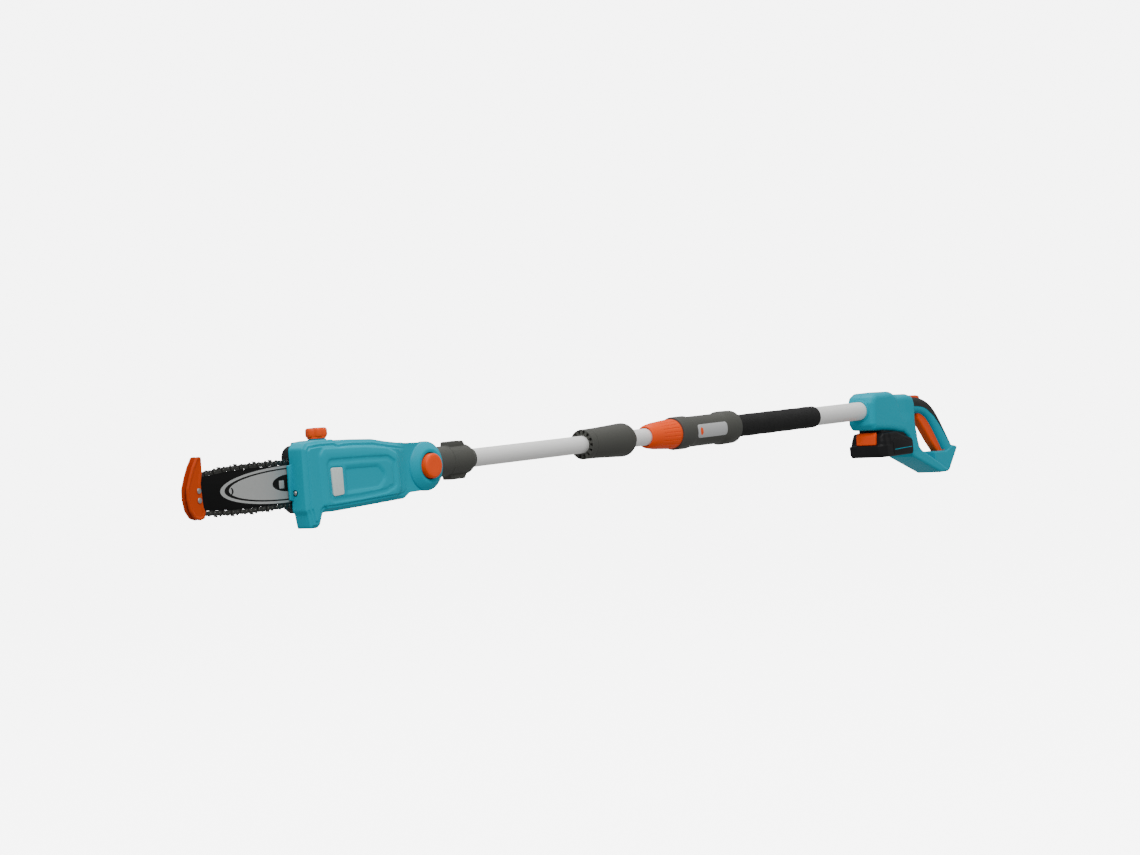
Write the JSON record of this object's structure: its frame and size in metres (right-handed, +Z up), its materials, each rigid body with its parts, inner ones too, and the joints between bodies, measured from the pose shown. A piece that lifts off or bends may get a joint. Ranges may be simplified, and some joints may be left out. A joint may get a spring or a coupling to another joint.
{
  "type": "telescoping pole saw",
  "caption": "Battery pole saw: a small tilting chain-saw head on a telescoping pole with twist lock, foam grip and a closed rear handle with trigger.",
  "frame": {"origin": "on the pole's axis, in the middle of the bare stretch of the outer tube between foam grip and rear handle", "axes": "+X along the pole towards the rear handle, +Z up, -Y the side of the tilt button"},
  "size_m": [2.0005, 0.085, 0.2],
  "materials": {
    "turquoise_plastic": "fine grained",
    "orange_plastic": "smooth",
    "guard_orange": "smooth",
    "dark_grey_plastic": "fine grained",
    "black_plastic": "fine grained",
    "soft_grip": "matt",
    "foam": "matt foam",
    "silver_plastic": "satin",
    "aluminium_tube": "satin anodised",
    "steel": "brushed",
    "chain_steel": "brushed",
    "bar_paint": "black, satin",
    "label_foil": "printed",
    "clear_window": "translucent",
    "copper_contact": "plain",
    "board_green": "plain"
  },
  "bodies": {
    "handle": {"outer_tube": "aluminium_tube", "tube_guide_bush": "black_plastic", "clamping_collet": "black_plastic", "twist_lock_housing": "dark_grey_plastic", "label_plate": "silver_plastic", "foam_grip": "foam", "rear_housing_near": "turquoise_plastic", "rear_housing_far": "turquoise_plastic", "grip_overmould": "soft_grip", "case_screws": "steel", "trigger_pin": "steel", "tube_clamp": "steel", "controller_board": "board_green", "trigger_switch": "black_plastic", "battery_rail": "black_plastic", "battery_contacts": "copper_contact"},
    "twist_ring": {"twist_sleeve": "orange_plastic"},
    "inner_pole": {"inner_tube": "aluminium_tube", "tube_end_bush": "black_plastic", "coupling_core": "dark_grey_plastic", "front_tube": "aluminium_tube", "pole_cable": "black_plastic", "front_yoke": "dark_grey_plastic", "yoke_screws": "steel"},
    "clamp_nut": {"coupling_nut": "dark_grey_plastic", "nut_friction_ring": "black_plastic"},
    "head": {"head_housing_near": "turquoise_plastic", "head_housing_far": "turquoise_plastic", "sprocket_cover": "black_plastic", "head_screws": "steel", "chassis_plate": "steel", "guide_bar": "bar_paint", "bar_label": "label_foil", "bar_guide_block": "steel", "bar_stud": "steel", "bar_nut": "steel", "saw_chain": "chain_steel", "tip_guard_near": "guard_orange", "tip_guard_far": "guard_orange", "guard_rivets": "steel", "oil_tank": "clear_window", "oil_window": "clear_window", "filler_neck": "turquoise_plastic", "motor_case": "steel", "shaft_bearings": "steel", "pivot_pin": "steel", "tilt_button_spring": "steel"},
    "tilt_knob": {"tilt_button": "orange_plastic"},
    "oil_filler": {"oil_cap": "orange_plastic"},
    "drive": {"sprocket_shaft": "steel", "crown_gear": "steel", "drive_sprocket": "steel"},
    "motor": {"motor_shaft": "steel", "motor_pinion": "steel"},
    "tensioner": {"chain_tension_screw": "steel"},
    "trigger_lever": {"trigger": "orange_plastic"},
    "lock_off": {"lock_off_button": "orange_plastic"},
    "battery_pack": {"battery_case": "black_plastic", "battery_cells": "steel"},
    "battery_latch": {"battery_release_button": "orange_plastic"}
  },
  "joints": [
    {"name": "pole_extend", "type": "slide", "parent": "handle", "child": "inner_pole", "axis": [-1, 0, 0], "range_m": [0, 0.45]},
    {"name": "twist_lock_turn", "type": "hinge", "parent": "handle", "child": "twist_ring", "pos_m": [-0.54, 0, 0], "axis": [1, 0, 0], "range_deg": [0, 90]},
    {"name": "clamp_nut_turn", "type": "hinge", "parent": "inner_pole", "child": "clamp_nut", "pos_m": [-0.67, 0, 0], "axis": [1, 0, 0], "range_deg": [0, 360]},
    {"name": "head_tilt", "type": "hinge", "parent": "inner_pole", "child": "head", "pos_m": [-1.15, 0, -0.002], "axis": [0, -1, 0], "range_deg": [-15, 60]},
    {"name": "tilt_button_press", "type": "slide", "parent": "head", "child": "tilt_knob", "axis": [0, 1, 0], "range_m": [0, 0.004], "stiffness_N_per_m": 800, "springref_m": -0.003, "deforming": ["tilt_button_spring"]},
    {"name": "oil_cap_turn", "type": "hinge", "parent": "head", "child": "oil_filler", "pos_m": [-1.347, 0, 0.06], "axis": [0, 0, 1], "range_deg": [0, 270]},
    {"name": "sprocket_spin", "type": "hinge", "parent": "head", "child": "drive", "pos_m": [-1.372, 0, -0.005], "axis": [0, 1, 0], "continuous": true},
    {"name": "motor_spin", "type": "hinge", "parent": "head", "child": "motor", "pos_m": [-1.3, 0.011, -0.005], "axis": [1, 0, 0], "continuous": true},
    {"name": "tension_screw_turn", "type": "hinge", "parent": "head", "child": "tensioner", "pos_m": [-1.405, -0.0116, -0.019], "axis": [1, 0, 0], "range_deg": [-360, 360]},
    {"name": "trigger_squeeze", "type": "hinge", "parent": "handle", "child": "trigger_lever", "pos_m": [0.344, 0, -0.092], "axis": [0, 1, 0], "range_deg": [0, 5], "stiffness_Nm_per_rad": 4, "springref_deg": -4.58},
    {"name": "lock_off_press", "type": "slide", "parent": "handle", "child": "lock_off", "axis": [0, 0, -1], "range_m": [0, 0.003], "stiffness_N_per_m": 500, "springref_m": -0.003},
    {"name": "battery_slide", "type": "slide", "parent": "handle", "child": "battery_pack", "axis": [-1, 0, 0], "range_m": [0, 0.11]},
    {"name": "battery_latch_press", "type": "slide", "parent": "battery_pack", "child": "battery_latch", "axis": [1, 0, 0], "range_m": [0, 0.003], "stiffness_N_per_m": 800, "springref_m": -0.003}
  ],
  "couplings": [
    {"joint": "motor_spin", "follows": "sprocket_spin", "ratio": -2.6667}
  ]
}
